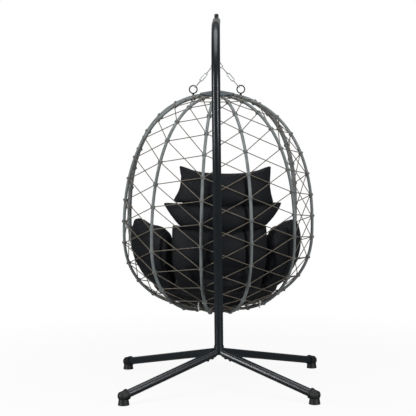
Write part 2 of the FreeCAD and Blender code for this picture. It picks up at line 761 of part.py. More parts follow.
def make_seat():
    """A bowl-shaped pad in the bottom of the egg, with its front along the rim."""
    lengths = [WALL_LENGTH - 60 - step * 52 for step in range(9)]
    outline = [Vector(0, 0, wall_at(lengths[0])[1] + BACK_GAP)]
    for length in lengths:
        radius, height = wall_at(length)
        normal = wall_normal(Vector(radius, 0, height))
        point = Vector(radius, 0, height) - normal * BACK_GAP
        if point.z < SEAT_TOP - 12:
            outline.append(point)
    outline.append(Vector(outline[-1].x, 0, SEAT_TOP))
    outline.append(Vector(0, 0, SEAT_TOP))
    section = Part.Face(Part.makePolygon(outline + [outline[0]]))
    seat = section.revolve(Vector(), Vector(0, 0, 1), 360)
    low = wall_point(0, knot_length(0, 8) + 40)
    high = wall_point(0, knot_length(0, 6))
    slope = math.degrees(math.atan2(low.y - high.y, high.z - low.z))
    front = Part.makeBox(1400, 600, 900, Vector(-700, -600, -450))
    front.rotate(Vector(), Vector(1, 0, 0), slope)
    front.translate(Vector(0, high.y + SEAT_FRONT, high.z))
    basket_feature("seat_cushion", seat.cut(front))


TIES = ((-36, 440), (20, 455))   # angle from the back and height of each tie's knot


def make_ties():
    """Short tapes that hang off the cushions' lower edges inside the netting."""
    tapes = []
    for angle, height in TIES:
        tape = Part.makeBox(7, 1.4, 44, Vector(-3.5, wall_radius(height) - 24, height - 44))
        tape.rotate(Vector(), Vector(0, 0, 1), -angle)
        tapes.append(tape)
    basket_feature("cushion_ties", Part.makeCompound(tapes))


def make_cushions():
    shell_pad("back_cushion", 508, 878, 105, 3, 33, BACK_GAP)
    shell_pad("lumbar_pillow", 884, 996, 100, 0, 45, BACK_GAP)
    shell_pad("head_pillow", 1003, 1178, 95, -2, 37, BACK_GAP)
    shell_pad("left_arm_cushion", 508, 868, 90, 63, 24, SIDE_GAP)
    shell_pad("right_arm_cushion", 508, 868, 90, -52, 19.5, SIDE_GAP)
    make_seat()


# ---------------------------------------------------------------- build and write

make_hub()
make_legs()
make_feet()
high_pole, hook_point = make_poles()
eye_centre = make_tip(high_pole, hook_point)
hook_low, gate_pivot = make_snap_hook(eye_centre)
swivel_bearing, gather_low = make_swivel(hook_low)
make_ribs()
make_rim()
make_hub_plates()
make_knots()
make_lacing()
hanger_centres = make_hangers()
for hanger, side_name, shift in zip(hanger_centres, ("left", "right"), (2.9, -2.9)):
    make_chain(side_name + "_chain", gather_low + Vector(0, shift, 0), hanger)
make_cushions()
make_ties()
doc.recompute()

for obj in doc.Objects:
    if "Invalid" in obj.State or "Error" in obj.State:
        raise RuntimeError("%s failed: %s" % (obj.Label, obj.State))
for label, obj in nodes.items():
    if obj.Shape.isNull() or not obj.Shape.isValid():
        raise RuntimeError("%s has no valid shape" % label)

os.makedirs("parts", exist_ok=True)
for label, obj in nodes.items():
    obj.Shape.exportStep("parts/%s.step" % label)
print("eye contact", eye_centre, "hook low", hook_low, "gate pivot", gate_pivot)
print("swivel", swivel_bearing, "gather", gather_low, "hang point", hang_point)
print(len(nodes), "nodes")
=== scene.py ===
import json
import math
import random

import bpy
import numpy as np
from mathutils import Matrix, Vector


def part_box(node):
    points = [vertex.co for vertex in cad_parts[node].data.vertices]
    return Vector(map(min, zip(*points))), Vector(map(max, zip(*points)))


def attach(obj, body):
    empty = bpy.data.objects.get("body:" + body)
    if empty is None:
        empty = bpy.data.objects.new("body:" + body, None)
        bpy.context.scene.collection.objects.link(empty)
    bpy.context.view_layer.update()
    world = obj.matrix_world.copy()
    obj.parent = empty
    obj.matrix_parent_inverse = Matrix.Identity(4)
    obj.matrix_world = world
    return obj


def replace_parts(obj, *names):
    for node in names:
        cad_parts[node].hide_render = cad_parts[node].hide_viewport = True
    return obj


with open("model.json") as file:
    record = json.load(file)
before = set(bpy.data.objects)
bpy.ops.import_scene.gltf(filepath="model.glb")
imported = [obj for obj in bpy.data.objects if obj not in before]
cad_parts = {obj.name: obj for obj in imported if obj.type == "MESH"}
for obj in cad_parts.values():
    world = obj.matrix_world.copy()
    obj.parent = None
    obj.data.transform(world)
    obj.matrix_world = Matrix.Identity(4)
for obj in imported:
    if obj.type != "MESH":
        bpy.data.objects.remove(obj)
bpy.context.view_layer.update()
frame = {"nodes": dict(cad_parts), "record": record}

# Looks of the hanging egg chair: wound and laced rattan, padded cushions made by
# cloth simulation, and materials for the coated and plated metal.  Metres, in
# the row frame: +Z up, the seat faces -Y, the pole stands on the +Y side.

random.seed(11)
scene = bpy.context.scene

# ---------------------------------------------------------------- the egg

EGG_RADIUS, EGG_TOP, EGG_WAIST, EGG_BOTTOM = 0.532, 1.520, 0.774, 0.325
CROWN_POWER, BOWL_POWER = 2.34, 2.19
HANG_LEVEL, HANGER_LEVEL, HANGER_BACK = 1.5525, 1.548, -0.014
LEAN, TURN = math.radians(9.2), math.radians(6)
RIB_RADIUS, RIM_RADIUS = 0.008, 0.012
RIB_END = 0.072
KNOT_PITCH, LEVELS = 0.118, range(-4, 10)
# arc length from the crown to the level-0 knot on each upright, left to right
KNOT_START = [0.606, 0.606, 0.596, 0.659, 0.645, 0.647, 0.591, 0.591]
LACE_END, RIM_LACE_END = 0.104, 0.165
ANGLES = [115, 75.5, 44.75, 14, -14, -44.75, -75.5, -115]
RIM_COLUMNS = (0, 7)
RIB_NAMES = ["left_side", "left_back", "left_middle", "right_middle", "right_back", "right_side"]
PANEL_NAMES = [
    "left_front", "left_side", "left_back", "middle", "right_back", "right_side", "right_front"]
STRAND_LIFT = 0.0033

low_corner, high_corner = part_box("nut_cap")
hook_line = (low_corner + high_corner) / 2
IN_BASKET = (
    Matrix.Translation((hook_line.x, hook_line.y, HANG_LEVEL))
    @ Matrix.Rotation(TURN, 4, "Z")
    @ Matrix.Rotation(-LEAN, 4, "X")
    @ Matrix.Translation((0, -HANGER_BACK, -HANGER_LEVEL))
)


def wall_radius(height):
    """Radius of the egg at a height in the basket's own frame."""
    if height >= EGG_WAIST:
        span, power = EGG_TOP - EGG_WAIST, CROWN_POWER
    else:
        span, power = EGG_WAIST - EGG_BOTTOM, BOWL_POWER
    part = min(1.0, abs(height - EGG_WAIST) / span)
    return EGG_RADIUS * (1 - part**power) ** (1 / power)


def wall_table(steps=4000):
    share = np.arange(steps + 1) / steps
    heights = EGG_BOTTOM + (EGG_TOP - EGG_BOTTOM) * (1 + np.cos(math.pi * share)) / 2
    radii = np.array([wall_radius(height) for height in heights])
    lengths = np.concatenate([[0], np.cumsum(np.hypot(np.diff(radii), np.diff(heights)))])
    return lengths, radii, heights


WALL_S, WALL_R, WALL_Z = wall_table()
WALL_LENGTH = float(WALL_S[-1])


def wall_points(column, lengths):
    """Points on an upright's centre line at arc lengths from the crown."""
    radii = np.interp(lengths, WALL_S, WALL_R)
    heights = np.interp(lengths, WALL_S, WALL_Z)
    angle = math.radians(ANGLES[column])
    back = radii * math.cos(angle)
    if column in RIM_COLUMNS:
        back = back * radii / EGG_RADIUS
    return np.stack([radii * math.sin(angle), back, heights], axis=1)


def knot_length(column, level):
    return KNOT_START[column] + KNOT_PITCH * level


def laced(column, level):
    """Whether strands meet an upright at a level, clear of the hub plates."""
    end = RIM_LACE_END if column in RIM_COLUMNS else LACE_END
    return level in LEVELS and end < knot_length(column, level) < WALL_LENGTH - end


def upright_radius(column):
    return RIM_RADIUS if column in RIM_COLUMNS else RIB_RADIUS


def unit(vectors):
    return vectors / np.linalg.norm(vectors, axis=-1, keepdims=True)


def outward(points):
    """Outward directions of the egg's surface near some points."""
    flat = points * [1, 1, 0]
    reach = np.linalg.norm(flat, axis=1, keepdims=True)
    above = points[:, 2:3] - EGG_WAIST
    span = np.where(above > 0, EGG_TOP - EGG_WAIST, EGG_WAIST - EGG_BOTTOM)
    power = np.where(above > 0, CROWN_POWER, BOWL_POWER)
    sideways = (reach / EGG_RADIUS) ** (power - 1) / EGG_RADIUS
    upward = np.sign(above) * (np.abs(above) / span) ** (power - 1) / span
    return unit(flat / np.maximum(reach, 1e-6) * sideways + upward * [0, 0, 1])


# ---------------------------------------------------------------- mesh helpers


def to_row(points):
    """Points of the basket's own frame in the row frame."""
    turn = np.array(IN_BASKET.to_3x3())
    return points @ turn.T + np.array(IN_BASKET.translation)


def object_from(name, points, faces, material, body="basket"):
    mesh = bpy.data.meshes.new(name)
    mesh.from_pydata([tuple(point) for point in points], [], [tuple(face) for face in faces])
    mesh.polygons.foreach_set("use_smooth", [True] * len(mesh.polygons))
    piece = bpy.data.objects.new(name, mesh)
    scene.collection.objects.link(piece)
    piece.data.materials.append(material)
    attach(piece, body)
    return piece


def path_frames(points, guide, closed=False):
    """Two directions across a path at each of its points; guide is roughly the first."""
    if closed:
        tangents = unit(np.roll(points, -1, axis=0) - np.roll(points, 1, axis=0))
    else:
        tangents = unit(np.gradient(points, axis=0))
    first = unit(guide - tangents * np.sum(guide * tangents, axis=1, keepdims=True))
    return first, np.cross(tangents, first)


def tube(points, guide, radii, sides, closed=False):
    """Vertices and quads of a tube whose radius is given per ring and side."""
    first, second = path_frames(points, guide, closed)
    turn = 2 * math.pi * np.arange(sides) / sides
    cosine, sine = np.cos(turn)[None, :, None], np.sin(turn)[None, :, None]
    across = first[:, None] * cosine + second[:, None] * sine
    verts = points[:, None] + across * radii[:, :, None]
    rings = len(points)
    last = rings if closed else rings - 1
    ring, side = np.meshgrid(np.arange(last), np.arange(sides), indexing="ij")
    ahead, beside = (ring + 1) % rings, (side + 1) % sides
    quads = np.stack([ring * sides + side, ring * sides + beside,
                      ahead * sides + beside, ahead * sides + side], axis=-1)
    faces = quads.reshape(-1, 4)[:, ::-1].tolist()
    if not closed:
        faces.append(list(range(sides)))
        faces.append(list(range(rings * sides - 1, (rings - 1) * sides - 1, -1)))
    return verts.reshape(-1, 3), faces


class Batch:
    """Collects meshes of one piece."""

    def __init__(self):
        self.points, self.faces, self.count = [], [], 0

    def add(self, verts, faces):
        self.points.append(verts)
        self.faces += [[index + self.count for index in face] for face in faces]
        self.count += len(verts)

    def build(self, name, slot, material, nodes):
        piece = object_from(name, to_row(np.concatenate(self.points)), self.faces, material)
        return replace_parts(piece, *nodes)


# ---------------------------------------------------------------- materials


class Nodes:
    """A material being built: makes nodes and links them."""

    def __init__(self, name):
        self.material = bpy.data.materials.new(name)
        self.material.use_nodes = True
        self.tree = self.material.node_tree
        self.shader = self.tree.nodes["Principled BSDF"]
        self.coords = self.tree.nodes.new("ShaderNodeTexCoord").outputs["Object"]

    def link(self, source, target):
        self.tree.links.new(source, target)

    def node(self, kind, **values):
        made = self.tree.nodes.new(kind)
        for key, value in values.items():
            if hasattr(made, key):
                setattr(made, key, value)
            else:
                made.inputs[key.replace("_", " ")].default_value = value
        return made

    def stretched(self, scale):
        mapping = self.node("ShaderNodeMapping")
        mapping.inputs["Scale"].default_value = scale
        self.link(self.coords, mapping.inputs["Vector"])
        return mapping.outputs["Vector"]

    def noise(self, scale, detail=4.0, rough=0.55, vector=None):
        made = self.node("ShaderNodeTexNoise", Scale=scale, Detail=detail, Roughness=rough)
        self.link(vector or self.coords, made.inputs["Vector"])
        return made.outputs["Fac"]

    def ramp(self, source, stops):
        made = self.node("ShaderNodeValToRGB")
        elements = made.color_ramp.elements
        while len(elements) < len(stops):
            elements.new(0.5)
        for element, (place, colour) in zip(elements, stops):
            element.position = place
            element.color = (*colour, 1)
        self.link(source, made.inputs["Fac"])
        return made.outputs["Color"]

    def spread(self, source, low, high):
        made = self.node("ShaderNodeMapRange")
        made.inputs["To Min"].default_value = low
        made.inputs["To Max"].default_value = high
        self.link(source, made.inputs["Value"])
        return made.outputs["Result"]

    def bump(self, source, strength, distance, below=None):
        made = self.node("ShaderNodeBump", Strength=strength, Distance=distance)
        self.link(source, made.inputs["Height"])
        if below is not None:
            self.link(below, made.inputs["Normal"])
        return made.outputs["Normal"]

    def finish(self, colour=None, rough=None, normal=None, **fixed):
        for source, socket in ((colour, "Base Color"), (rough, "Roughness"), (normal, "Normal")):
            if source is not None:
                self.link(source, self.shader.inputs[socket])
        for key, value in fixed.items():
            self.shader.inputs[key.replace("_", " ")].default_value = value
        return self.material


def powder_coat():
    """Blue-black hammered coating: small shallow dimples under a half gloss."""
    made = Nodes("powder_coat")
    dimples = made.node("ShaderNodeTexVoronoi", Scale=260.0, feature="SMOOTH_F1")
    made.link(made.coords, dimples.inputs["Vector"])
    dark, light = (0.006, 0.01, 0.014), (0.0095, 0.0145, 0.02)
    tone = made.ramp(made.noise(7, 5), [(0.3, dark), (0.7, light)])
    rough = made.spread(made.noise(40, 3), 0.27, 0.38)
    fine = made.bump(made.noise(900, 2), 0.12, 0.0002)
    normal = made.bump(dimples.outputs["Distance"], 0.16, 0.0006, fine)
    return made.finish(tone, rough, normal, Coat_Weight=0.25, Coat_Roughness=0.16)


def moulded_plastic(name, colour, low, high, grain):
    made = Nodes(name)
    lighter = tuple(value * 1.5 for value in colour)
    tone = made.ramp(made.noise(30, 3), [(0.35, colour), (0.7, lighter)])
    rough = made.spread(made.noise(120, 3), low, high)
    normal = made.bump(made.noise(1400, 2), grain, 0.0002)
    return made.finish(tone, rough, normal)


def plated_steel(name, colour, low, high, smear):
    """Bright or dark plating with faint rubbing marks."""
    made = Nodes(name)
    streaks = made.noise(1, 4, vector=made.stretched((220, 220, 45)))
    darker = tuple(value * 0.72 for value in colour)
    tone = made.ramp(made.noise(60, 4), [(0.3, darker), (0.65, colour)])
    rough = made.spread(streaks, low, high)
    normal = made.bump(streaks, smear, 0.0002)
    return made.finish(tone, rough, normal, Metallic=1.0)


def coated_plate():
    """Grey-green coating of the two hub plates."""
    made = Nodes("hub_plate")
    dark, light = (0.085, 0.115, 0.13), (0.12, 0.155, 0.17)
    tone = made.ramp(made.noise(18, 4), [(0.3, dark), (0.7, light)])
    rough = made.spread(made.noise(60, 3), 0.3, 0.45)
    normal = made.bump(made.noise(700, 2), 0.15, 0.0002)
    return made.finish(tone, rough, normal, Coat_Weight=0.2, Coat_Roughness=0.2)


def rattan(name, dark, middle, light, fine_scale):
    """Extruded synthetic rattan: streaked colour, fine lengthwise ridges."""
    made = Nodes(name)
    patches = made.noise(26, 5, 0.6)
    fibres = made.noise(fine_scale, 3, 0.6)
    mixed = made.node("ShaderNodeMix", data_type="FLOAT")
    mixed.inputs["Factor"].default_value = 0.55
    made.link(patches, mixed.inputs[2])
    made.link(fibres, mixed.inputs[3])
    tone = made.ramp(mixed.outputs[0], [(0.33, dark), (0.5, middle), (0.68, light)])
    rough = made.spread(fibres, 0.42, 0.6)
    normal = made.bump(fibres, 0.3, 0.0004)
    return made.finish(tone, rough, normal)


def fabric(name, dark, light, rough_low, rough_high, sheen):
    """Woven polyester: threads along each axis, soft colour drift and a dull sheen."""
    made = Nodes(name)
    threads = []
    for direction in ("X", "Z", "Y"):
        wave = made.node("ShaderNodeTexWave", Scale=190.0, bands_direction=direction,
                         wave_profile="SIN")
        wave.inputs["Distortion"].default_value = 0.6
        made.link(made.coords, wave.inputs["Vector"])
        threads.append(wave.outputs["Fac"])
    total = made.node("ShaderNodeMath", operation="ADD")
    made.link(threads[0], total.inputs[0])
    made.link(threads[1], total.inputs[1])
    weave = made.node("ShaderNodeMath", operation="ADD")
    made.link(total.outputs[0], weave.inputs[0])
    made.link(threads[2], weave.inputs[1])
    tone = made.ramp(made.noise(9, 6, 0.65), [(0.3, dark), (0.72, light)])
    rough = made.spread(made.noise(45, 4), rough_low, rough_high)
    creases = made.bump(made.noise(24, 5, 0.6), 0.35, 0.006)
    normal = made.bump(weave.outputs[0], 0.22, 0.0005, creases)
    return made.finish(tone, rough, normal, Sheen_Weight=sheen, Sheen_Roughness=0.4,
                       Specular_IOR_Level=0.3)


MATERIALS = {
    "powder_coat": powder_coat(),
    "foot_plastic": moulded_plastic("foot_plastic", (0.008, 0.009, 0.0095), 0.45, 0.6, 0.3),
    "cap_plastic": moulded_plastic("cap_plastic", (0.007, 0.007, 0.0075), 0.22, 0.32, 0.1),
    "black_hardware": plated_steel("black_hardware", (0.03, 0.031, 0.033), 0.3, 0.5, 0.15),
    "dark_steel": plated_steel("dark_steel", (0.07, 0.078, 0.085), 0.25, 0.42, 0.12),
    "zinc_steel": plated_steel("zinc_steel", (0.8, 0.82, 0.85), 0.34, 0.5, 0.1),
    "hub_plate": coated_plate(),
    "wrapped_rattan": rattan(
        "wrapped_rattan", (0.13, 0.15, 0.155), (0.225, 0.25, 0.255), (0.34, 0.365, 0.365), 420),
    "rattan_knots": rattan(
        "rattan_knots", (0.12, 0.125, 0.12), (0.24, 0.25, 0.24), (0.42, 0.43, 0.41), 500),
    "rattan_strand": rattan(
        "rattan_strand", (0.1, 0.085, 0.066), (0.175, 0.152, 0.118), (0.27, 0.24, 0.19), 600),
    "cushion_fabric": fabric(
        "cushion_fabric", (0.0024, 0.0034, 0.0058), (0.0058, 0.0072, 0.011), 0.55, 0.75, 0.04),
    "tie_tape": fabric(
        "tie_tape", (0.6, 0.59, 0.56), (0.78, 0.77, 0.74), 0.8, 0.9, 0.1),
}

for row in frame["record"]["subparts"]:
    node = frame["nodes"][row["node"]]
    for material_slot in node.material_slots:
        material_slot.material = MATERIALS[row["material_slot"]]

# ---------------------------------------------------------------- wound uprights

RIB_STRIP, RIM_STRIP = 0.0065, 0.008     # width of one turn of the winding
STEPS_PER_TURN = 5
STRIP_RISE = 0.0003                      # how far the strip's crown stands over the plain tube
GROOVE = 0.0009
RIB_SIDES, RIM_SIDES = 14, 18


def wound_radii(lengths, radius, strip, sides):
    """A tube wound with flat strip: each turn is a low crown with a groove beside it."""
    turn = np.arange(sides) / sides
    phase = np.mod(lengths[:, None] / strip - turn[None, :], 1.0)
    crown = np.abs(np.sin(math.pi * phase)) ** 0.4
    return radius + STRIP_RISE + GROOVE * (crown - 1)


def centre_guide(points):
    return points - np.array([0, 0, EGG_WAIST])


def wound_rib(column):
    step = RIB_STRIP / STEPS_PER_TURN
    lengths = np.arange(RIB_END, WALL_LENGTH - RIB_END, step)
    points = wall_points(column, lengths)
    radii = wound_radii(lengths, RIB_RADIUS, RIB_STRIP, RIB_SIDES)
    batch = Batch()
    batch.add(*tube(points, centre_guide(points), radii, RIB_SIDES))
    name = RIB_NAMES[column - 1] + "_rib"
    batch.build(name + "_winding", "wrapped_rattan", MATERIALS["wrapped_rattan"], [name])


def wound_rim():
    half = np.linspace(0, WALL_LENGTH, 1600)
    left = wall_points(RIM_COLUMNS[0], half)
    right = wall_points(RIM_COLUMNS[1], half)
    hoop = np.concatenate([left[:-1], right[::-1][:-1]])
    run = np.concatenate([[0], np.cumsum(np.linalg.norm(np.diff(hoop, axis=0), axis=1))])
    total = run[-1] + np.linalg.norm(hoop[0] - hoop[-1])
    turns = round(total / RIM_STRIP)
    lengths = np.arange(turns * STEPS_PER_TURN) * total / (turns * STEPS_PER_TURN)
    path = np.concatenate([hoop, hoop[:1]])
    marks = np.concatenate([run, [total]])
    points = np.stack([np.interp(lengths, marks, path[:, axis]) for axis in range(3)], axis=1)
    radii = wound_radii(lengths, RIM_RADIUS, total / turns, RIM_SIDES)
    batch = Batch()
    batch.add(*tube(points, centre_guide(points), radii, RIM_SIDES, closed=True))
    batch.build("front_rim_winding", "wrapped_rattan", MATERIALS["wrapped_rattan"], ["front_rim"])


# ---------------------------------------------------------------- lacing and knots

STRAND_RADIUS, STRAND_TWIST, STRAND_SIDES = 0.0025, 0.021, 9
STRAND_CLEARANCE = 0.0012             # from a strand's end to the upright it runs to
# Under the crown plate the strand also runs straight from rib to rib; these turns
# are in the visual only and have no solid in the CAD.
CROWN_TURNS, CROWN_LIFT = (0.108, 0.142, 0.186), 0.007
COIL_RADIUS, COIL_SIDES, CROSS_SHIFT = 0.0017, 6, 0.0062


def twisted_strand(start, end, guide):
    """Two plies twisted together between two points."""
    span = np.linalg.norm(end - start)
    count = max(3, int(span / STRAND_TWIST * 8))
    share = np.linspace(0, 1, count)
    points = start + (end - start) * share[:, None]
    points = points + guide * (np.sin(math.pi * share) * random.uniform(-0.0015, 0.0008))[:, None]
    turn = 2 * math.pi * np.arange(STRAND_SIDES) / STRAND_SIDES
    twist = 2 * math.pi * share * span / STRAND_TWIST + random.uniform(0, 6)
    radii = STRAND_RADIUS * (0.76 + 0.3 * np.abs(np.cos(turn[None, :] - twist[:, None])))
    return tube(points, np.broadcast_to(guide, points.shape), radii, STRAND_SIDES)


def lacing(panel):
    batch = Batch()
    if 0 < panel < len(PANEL_NAMES) - 1:
        for length in CROWN_TURNS:
            start = wall_points(panel, np.array([length]))[0]
            end = wall_points(panel + 1, np.array([length]))[0]
            guide = outward(((start + end) / 2)[None])[0]
            batch.add(*twisted_strand(start + guide * CROWN_LIFT, end + guide * CROWN_LIFT, guide))
    for level in LEVELS:
        for step, lift in ((1, STRAND_LIFT), (-1, -STRAND_LIFT)):
            if not (laced(panel, level) and laced(panel + 1, level + step)):
                continue
            start = wall_points(panel, np.array([knot_length(panel, level)]))[0]
            end = wall_points(panel + 1, np.array([knot_length(panel + 1, level + step)]))[0]
            guide = outward(((start + end) / 2)[None])[0]
            run = unit(end - start)
            first = start + guide * lift + run * (upright_radius(panel) + STRAND_CLEARANCE)
            last = end + guide * lift - run * (upright_radius(panel + 1) + STRAND_CLEARANCE)
            batch.add(*twisted_strand(first, last, guide))
    name = PANEL_NAMES[panel] + "_lacing"
    batch.build(name + "_cords", "rattan_strand", MATERIALS["rattan_strand"], [name])


def lashing(batch, column, level):
    """Three close turns round the upright and two that cross over them."""
    length = knot_length(column, level)
    centre, ahead = wall_points(column, np.array([length, length + 0.001]))
    along = unit(ahead - centre)
    first = outward(centre[None])[0]
    first = unit(first - along * np.dot(first, along))
    second = np.cross(along, first)
    reach = upright_radius(column) + COIL_RADIUS
    turns, per_turn = 3, 18
    angle = np.arange(turns * per_turn + 1) * 2 * math.pi / per_turn
    rise = (angle / (2 * math.pi) - turns / 2) * COIL_RADIUS * 2
    ring = first * np.cos(angle)[:, None] + second * np.sin(angle)[:, None]
    coil = centre + ring * reach + along * rise[:, None]
    radii = np.full((len(coil), COIL_SIDES), COIL_RADIUS)
    batch.add(*tube(coil, ring, radii, COIL_SIDES))
    angle = np.arange(per_turn + 2) * 2 * math.pi / (per_turn + 2)
    ring = first * np.cos(angle)[:, None] + second * np.sin(angle)[:, None]
    for slant in (-1, 1):
        over = reach + COIL_RADIUS * (0.9 + 0.5 * np.abs(np.cos(angle)))
        shift = slant * CROSS_SHIFT * np.sin(angle)
        loop = centre + ring * over[:, None] + along * shift[:, None]
        radii = np.full((len(loop), COIL_SIDES), COIL_RADIUS)
        batch.add(*tube(loop, ring, radii, COIL_SIDES, closed=True))


def knots():
    """One piece of lashings for each rib and one for the whole rim."""
    rim = Batch()
    for column in range(len(ANGLES)):
        is_rim = column in RIM_COLUMNS
        batch = rim if is_rim else Batch()
        for level in LEVELS:
            if laced(column, level):
                lashing(batch, column, level)
        if not is_rim:
            name = RIB_NAMES[column - 1] + "_knots"
            batch.build(name + "_lashing", "rattan_knots", MATERIALS["rattan_knots"], [name])
    rim.build("rim_knots_lashing", "rattan_knots", MATERIALS["rattan_knots"], ["rim_knots"])


for column in range(1, 7):
    wound_rib(column)
wound_rim()
for panel in range(len(PANEL_NAMES)):
    lacing(panel)
knots()

# ---------------------------------------------------------------- cushions

BACK_GAP, SIDE_GAP = 0.036, 0.05         # from the egg's wall to a pad
ARM_LOW, ARM_HIGH, ARM_THICKNESS = 0.498, 0.872, 0.095
BACK_THICKNESS, HEAD_THICKNESS = 0.105, 0.1
PAD_COLUMNS, PAD_ROWS = 44, 30
CORNER_POWER = 4
CLOTH_PRESSURE, CLOTH_FRAMES = 4, 20


def pillow_mesh(place, across, up):
    """A closed pad: place(u, v, w) gives a point, with u and v from -1 to 1 over
    the pad's face and w from -1 inside to 1 outside."""
    verts, faces = [], []
    index = {}
    for side in (1, -1):
        for row in range(up + 1):
            for column in range(across + 1):
                edge = row in (0, up) or column in (0, across)
                key = (row, column) if edge else (row, column, side)
                if key in index:
                    continue
                index[key] = len(verts)
                verts.append(place(2 * column / across - 1, 2 * row / up - 1, 0 if edge else side))
    for side in (1, -1):
        for row in range(up):
            for column in range(across):
                corners = [(row, column), (row, column + 1), (row + 1, column + 1), (row + 1, column)]
                face = []
                for corner in corners:
                    edge = corner[0] in (0, up) or corner[1] in (0, across)
                    face.append(index[corner if edge else (*corner, side)])
                faces.append(face if side > 0 else face[::-1])
    return verts, faces


def on_wall(angle, height, gap, thickness, w, swell):
    """A point of a pad along the egg's wall; angle in degrees from the back."""
    radius = wall_radius(height) - gap - thickness / 2 + w * thickness / 2 * swell
    turn = math.radians(angle)
    return radius * math.sin(turn), radius * math.cos(turn), height


def cornered(corners, dips, thickness, gap, plump):
    """A pad between four (angle, height) corners: top left, top right, low left
    and low right.  dips draw its top, bottom and side edges in between them."""
    top_left, top_right, low_left, low_right = (np.array(corner) for corner in corners)
    top_dip, low_dip, side_dip = dips

    def place(u, v, w):
        swell = ((1 - u * u) * (1 - v * v)) ** plump
        left, right = (1 - u) / 2, (1 + u) / 2
        top = top_left * left + top_right * right
        low = low_left * left + low_right * right
        angle, height = top * (1 + v) / 2 + low * (1 - v) / 2
        height -= (1 - u * u) * (top_dip * (1 + v) / 2 - low_dip * (1 - v) / 2)
        angle += side_dip * u * (1 - v * v)
        return on_wall(angle, height, gap, thickness, w, swell)

    return place


def round_cornered(low, high, thickness, middle, half, gap, plump):
    """A pad with an upright outline and round corners; middle and half in degrees."""

    def place(u, v, w):
        swell = ((1 - u * u) * (1 - v * v)) ** plump
        u, v = rounded(u, v)
        height = (low + high) / 2 + (high - low) / 2 * v
        return on_wall(middle - half * u, height, gap, thickness, w, swell)

    return place


def rounded(u, v):
    """A point of the square from -1 to 1, moved onto an outline with round corners."""
    fit = (abs(u) ** CORNER_POWER + abs(v) ** CORNER_POWER) ** (1 / CORNER_POWER)
    big = max(abs(u), abs(v))
    scale = big / fit if fit > 0 else 1
    return u * scale, v * scale


def fill_out(piece, extra, cap, voxel):
    """Cloth simulation of a filled cover: the cloth is a little larger than the
    shape and is blown up, so that it folds; no point moves more than cap."""
    bpy.context.view_layer.objects.active = piece
    remesh = piece.modifiers.new("remesh", "REMESH")
    remesh.mode = "VOXEL"
    remesh.voxel_size = voxel
    remesh.use_smooth_shade = True
    apply_modifiers(piece)
    start = np.empty(len(piece.data.vertices) * 3, np.float32)
    piece.data.vertices.foreach_get("co", start)
    cloth = piece.modifiers.new("cloth", "CLOTH")
    settings = cloth.settings
    settings.quality = 4
    settings.mass = 0.25
    settings.tension_stiffness = settings.compression_stiffness = 18
    settings.shear_stiffness = 8
    settings.bending_stiffness = 0.25
    settings.use_pressure = True
    settings.uniform_pressure_force = CLOTH_PRESSURE
    settings.shrink_min = -extra
    settings.effector_weights.gravity = 0
    cloth.collision_settings.use_self_collision = False
    cloth.point_cache.frame_start = 1
    cloth.point_cache.frame_end = CLOTH_FRAMES
    for step in range(1, CLOTH_FRAMES + 1):
        scene.frame_set(step)
    apply_modifiers(piece)
    scene.frame_set(1)
    end = np.empty_like(start)
    piece.data.vertices.foreach_get("co", end)
    move = (end - start).reshape(-1, 3)
    size = np.linalg.norm(move, axis=1, keepdims=True)
    move = move * np.minimum(1, cap / np.maximum(size, 1e-9))
    piece.data.vertices.foreach_set("co", (start.reshape(-1, 3) + move).ravel())
    piece.data.update()


def apply_modifiers(piece):
    graph = bpy.context.evaluated_depsgraph_get()
    fresh = bpy.data.meshes.new_from_object(piece.evaluated_get(graph))
    old = piece.data
    piece.modifiers.clear()
    piece.data = fresh
    bpy.data.meshes.remove(old)


def finish_pad(piece, node):
    smooth = piece.modifiers.new("smooth", "SUBSURF")
    smooth.levels = smooth.render_levels = 1
    apply_modifiers(piece)
    piece.data.polygons.foreach_set("use_smooth", [True] * len(piece.data.polygons))
    piece.data.materials.clear()
    piece.data.materials.append(MATERIALS["cushion_fabric"])
    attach(piece, "basket")
    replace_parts(piece, node)


def pad_object(name, verts, faces):
    mesh = bpy.data.meshes.new(name)
    mesh.from_pydata(to_row(np.array(verts)).tolist(), [], faces)
    piece = bpy.data.objects.new(name, mesh)
    scene.collection.objects.link(piece)
    return piece


PADS = {
    "back_cushion": cornered(
        [(36.3, 0.886), (-29.5, 0.882), (37.3, 0.502), (-31, 0.502)],
        (-0.01, 0.0, 0.5), BACK_THICKNESS, BACK_GAP, 0.3),
    "lumbar_pillow": cornered(
        [(44.5, 0.989), (-45, 0.981), (30, 0.885), (-28, 0.88)],
        (-0.024, -0.018, 0.5), BACK_THICKNESS, BACK_GAP, 0.4),
    "head_pillow": cornered(
        [(35, 1.186), (-39, 1.178), (36.5, 1.001), (-36.5, 0.989)],
        (0.012, -0.014, 3.5), HEAD_THICKNESS, BACK_GAP, 0.4),
    "left_arm_cushion": round_cornered(
        ARM_LOW, ARM_HIGH, ARM_THICKNESS, 63, 25.8, SIDE_GAP, 0.3),
    "right_arm_cushion": round_cornered(
        ARM_LOW, ARM_HIGH, ARM_THICKNESS, -52, 20.5, SIDE_GAP, 0.3),
}

for node, place in PADS.items():
    verts, faces = pillow_mesh(place, PAD_COLUMNS, PAD_ROWS)
    pad = pad_object(node + "_cover", verts, faces)
    fill_out(pad, extra=0.07, cap=0.013, voxel=0.007)
    finish_pad(pad, node)


def seat_pad():
    """The seat starts from its plain solid, drawn in a little and rounded."""
    source = frame["nodes"]["seat_cushion"]
    pad = bpy.data.objects.new("seat_cushion_cover", source.data.copy())
    scene.collection.objects.link(pad)
    remesh = pad.modifiers.new("remesh", "REMESH")
    remesh.mode = "VOXEL"
    remesh.voxel_size = 0.012
    soften = pad.modifiers.new("soften", "SMOOTH")
    soften.factor = 0.5
    soften.iterations = 24
    apply_modifiers(pad)
    fill_out(pad, extra=0.05, cap=0.014, voxel=0.009)
    finish_pad(pad, "seat_cushion")


